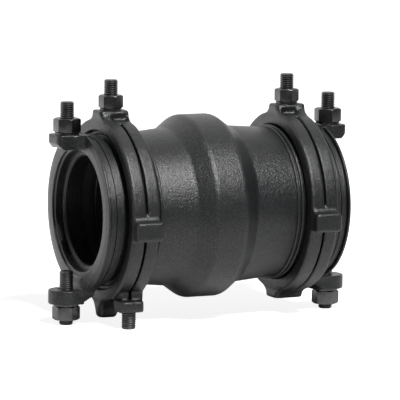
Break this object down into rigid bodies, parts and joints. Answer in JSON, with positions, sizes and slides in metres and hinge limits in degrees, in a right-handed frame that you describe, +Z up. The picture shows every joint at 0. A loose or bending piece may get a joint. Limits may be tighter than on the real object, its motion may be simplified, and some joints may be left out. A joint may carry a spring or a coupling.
{
  "type": "mechanical joint collar",
  "caption": "Restrained cast iron pipe coupling: a banded barrel with a grooved collar, lugged end ring, gasket and grip ring at each mouth, fastened by studs and nuts.",
  "frame": {"origin": "on the floor under the middle of the coupling, at the bottom centre of its box", "axes": "+X along the pipe axis towards the right end, +Z up through the collar studs"},
  "size_m": [0.361, 0.226, 0.2707],
  "materials": {
    "coated_iron": "satin black coating, fine grain",
    "black_steel": "black oxide, satin",
    "gasket_rubber": "matte"
  },
  "bodies": {
    "root": {"barrel": "coated_iron", "left_collar": "coated_iron", "left_end_ring": "coated_iron", "left_gasket": "gasket_rubber", "left_grip_ring": "coated_iron", "right_collar": "coated_iron", "right_end_ring": "coated_iron", "right_gasket": "gasket_rubber", "right_grip_ring": "coated_iron", "left_collar_stud": "black_steel", "left_top_stud": "black_steel", "left_bottom_stud": "black_steel", "right_collar_stud": "black_steel", "right_top_stud": "black_steel", "right_bottom_stud": "black_steel", "foot_stud": "black_steel"},
    "left_collar_washer_body": {"left_collar_washer": "black_steel"},
    "left_collar_nut_body": {"left_collar_nut": "black_steel"},
    "left_top_washer_body": {"left_top_washer": "black_steel"},
    "left_top_nut_body": {"left_top_nut": "black_steel"},
    "left_bottom_washer_body": {"left_bottom_washer": "black_steel"},
    "left_bottom_nut_body": {"left_bottom_nut": "black_steel"},
    "right_collar_washer_body": {"right_collar_washer": "black_steel"},
    "right_collar_nut_body": {"right_collar_nut": "black_steel"},
    "right_top_washer_body": {"right_top_washer": "black_steel"},
    "right_top_nut_body": {"right_top_nut": "black_steel"},
    "right_bottom_washer_body": {"right_bottom_washer": "black_steel"},
    "right_bottom_nut_body": {"right_bottom_nut": "black_steel"}
  },
  "joints": [
    {"name": "left_collar_travel", "type": "slide", "parent": "root", "child": "left_collar_washer_body", "axis": [0, 0, 1], "range_m": [0, 0.014]},
    {"name": "left_collar_turn", "type": "hinge", "parent": "left_collar_washer_body", "child": "left_collar_nut_body", "pos_m": [-0.1082, 0, 0.126], "axis": [0, 0, 1], "range_deg": [0, 2520]},
    {"name": "left_top_travel", "type": "slide", "parent": "root", "child": "left_top_washer_body", "axis": [0, 0, 1], "range_m": [0, 0.016]},
    {"name": "left_top_turn", "type": "hinge", "parent": "left_top_washer_body", "child": "left_top_nut_body", "pos_m": [-0.1605, 0, 0.126], "axis": [0, 0, 1], "range_deg": [0, 2880]},
    {"name": "left_bottom_travel", "type": "slide", "parent": "root", "child": "left_bottom_washer_body", "axis": [0, 0, -1], "range_m": [0, 0.004]},
    {"name": "left_bottom_turn", "type": "hinge", "parent": "left_bottom_washer_body", "child": "left_bottom_nut_body", "pos_m": [-0.1605, 0, 0.126], "axis": [0, 0, -1], "range_deg": [0, 720]},
    {"name": "right_collar_travel", "type": "slide", "parent": "root", "child": "right_collar_washer_body", "axis": [0, 0, 1], "range_m": [0, 0.014]},
    {"name": "right_collar_turn", "type": "hinge", "parent": "right_collar_washer_body", "child": "right_collar_nut_body", "pos_m": [0.1082, 0, 0.126], "axis": [0, 0, 1], "range_deg": [0, 2520]},
    {"name": "right_top_travel", "type": "slide", "parent": "root", "child": "right_top_washer_body", "axis": [0, 0, 1], "range_m": [0, 0.016]},
    {"name": "right_top_turn", "type": "hinge", "parent": "right_top_washer_body", "child": "right_top_nut_body", "pos_m": [0.1605, 0, 0.126], "axis": [0, 0, 1], "range_deg": [0, 2880]},
    {"name": "right_bottom_travel", "type": "slide", "parent": "root", "child": "right_bottom_washer_body", "axis": [0, 0, -1], "range_m": [0, 0.004]},
    {"name": "right_bottom_turn", "type": "hinge", "parent": "right_bottom_washer_body", "child": "right_bottom_nut_body", "pos_m": [0.1605, 0, 0.126], "axis": [0, 0, -1], "range_deg": [0, 720]}
  ],
  "couplings": [
    {"joint": "left_collar_travel", "follows": "left_collar_turn", "m_per_rad": 0.00031831},
    {"joint": "left_top_travel", "follows": "left_top_turn", "m_per_rad": 0.00031831},
    {"joint": "left_bottom_travel", "follows": "left_bottom_turn", "m_per_rad": 0.00031831},
    {"joint": "right_collar_travel", "follows": "right_collar_turn", "m_per_rad": 0.00031831},
    {"joint": "right_top_travel", "follows": "right_top_turn", "m_per_rad": 0.00031831},
    {"joint": "right_bottom_travel", "follows": "right_bottom_turn", "m_per_rad": 0.00031831}
  ]
}
